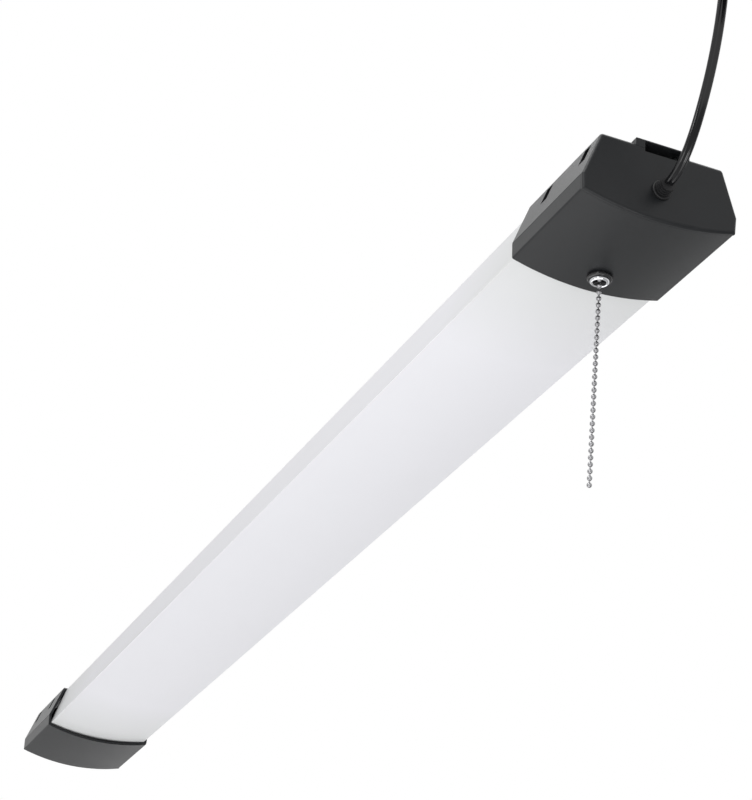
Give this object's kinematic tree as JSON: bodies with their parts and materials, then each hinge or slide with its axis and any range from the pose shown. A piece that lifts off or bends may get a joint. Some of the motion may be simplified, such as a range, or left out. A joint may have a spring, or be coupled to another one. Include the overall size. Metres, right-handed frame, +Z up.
{
  "type": "hanging shop light",
  "caption": "Long hanging shop light: grey end housings, a white wrap diffuser, a bead-chain pull switch and a flat supply cord that rises from one end.",
  "frame": {"origin": "middle of the top face of the sheet tray, on the line between the two hook slots", "axes": "+X along the light towards the end with the cord and the switch, +Y across, +Z up"},
  "size_m": [1.368, 0.1, 0.3535],
  "materials": {
    "housing_grey": "fine-grained moulded dark grey",
    "tray_white": "smooth white enamel",
    "diffuser_white": "smooth milky, light passes through",
    "screw_steel": "zinc plated",
    "board_white": "white solder mask",
    "chip_yellow": "phosphor over a clear dome",
    "driver_board": "brown laminate",
    "insulator": "thin fibre sheet",
    "nylon_white": "natural nylon",
    "component_black": "printed sleeve",
    "component_ferrite": "dark core with a taped bobbin",
    "component_red": "dipped",
    "switch_black": "moulded phenolic",
    "contact_brass": "plain",
    "spring_steel": "drawn wire",
    "chain_nickel": "bright nickel",
    "ferrule_chrome": "bright",
    "nut_black": "glossy",
    "cord_black": "glossy flexible jacket",
    "lead_black": "single insulated lead",
    "lead_white": "single insulated lead"
  },
  "bodies": {
    "root": {"near_upper_shell": "housing_grey", "far_upper_shell": "housing_grey", "near_lower_cover": "housing_grey", "far_lower_cover": "housing_grey", "near_case_screws": "screw_steel", "far_case_screws": "screw_steel", "back_tray": "tray_white", "diffuser": "diffuser_white", "led_board_left": "board_white", "led_board_right": "board_white", "led_chips_left": "chip_yellow", "led_chips_right": "chip_yellow", "board_rivets": "screw_steel", "driver_board": "driver_board", "driver_standoffs": "nylon_white", "driver_insulator": "insulator", "driver_capacitor": "component_black", "driver_transformer": "component_ferrite", "driver_choke": "component_ferrite", "film_capacitor": "component_red", "supply_terminal": "nylon_white", "led_connector": "nylon_white", "led_leads": "lead_white", "supply_leads": "lead_black", "switch_lead": "lead_black", "switch_base": "switch_black", "switch_cover": "switch_black", "switch_contact_near": "contact_brass", "switch_contact_mouth": "contact_brass", "drum_axle": "screw_steel", "return_spring": "spring_steel", "switch_nipple": "contact_brass", "nipple_nut": "nut_black", "bell_ferrule": "ferrule_chrome", "strain_relief": "cord_black", "supply_cord": "cord_black", "cord_coil": "cord_black", "coil_tie": "switch_black", "plug_body": "cord_black", "plug_blades": "contact_brass"},
    "chain_top": {"switch_chain": "chain_nickel"},
    "drum": {"chain_drum": "nylon_white"},
    "rotor": {"contact_rotor": "contact_brass"},
    "swivel": {"swivel_bead": "chain_nickel"},
    "hanging_chain": {"pull_chain": "chain_nickel"}
  },
  "joints": [
    {"name": "chain_pull", "type": "slide", "parent": "root", "child": "chain_top", "axis": [0, 0, -1], "range_m": [0, 0.00816], "stiffness_N_per_m": 600, "springref_m": -0.01},
    {"name": "drum_turn", "type": "hinge", "parent": "root", "child": "drum", "pos_m": [0.5403, 0, -0.0282], "axis": [0, -1, 0], "range_deg": [0, 90]},
    {"name": "rotor_turn", "type": "hinge", "parent": "root", "child": "rotor", "pos_m": [0.5403, 0, -0.0282], "axis": [0, -1, 0], "range_deg": [0, 90]},
    {"name": "chain_swing_along", "type": "hinge", "parent": "chain_top", "child": "swivel", "pos_m": [0.5351, 0, -0.04995], "axis": [0, 1, 0], "range_deg": [-60, 60]},
    {"name": "chain_swing_across", "type": "hinge", "parent": "swivel", "child": "hanging_chain", "pos_m": [0.5351, 0, -0.04995], "axis": [1, 0, 0], "range_deg": [-60, 60]}
  ],
  "couplings": [
    {"joint": "drum_turn", "follows": "chain_pull", "rad_per_m": 192.3},
    {"joint": "rotor_turn", "follows": "chain_pull", "rad_per_m": 192.3}
  ]
}
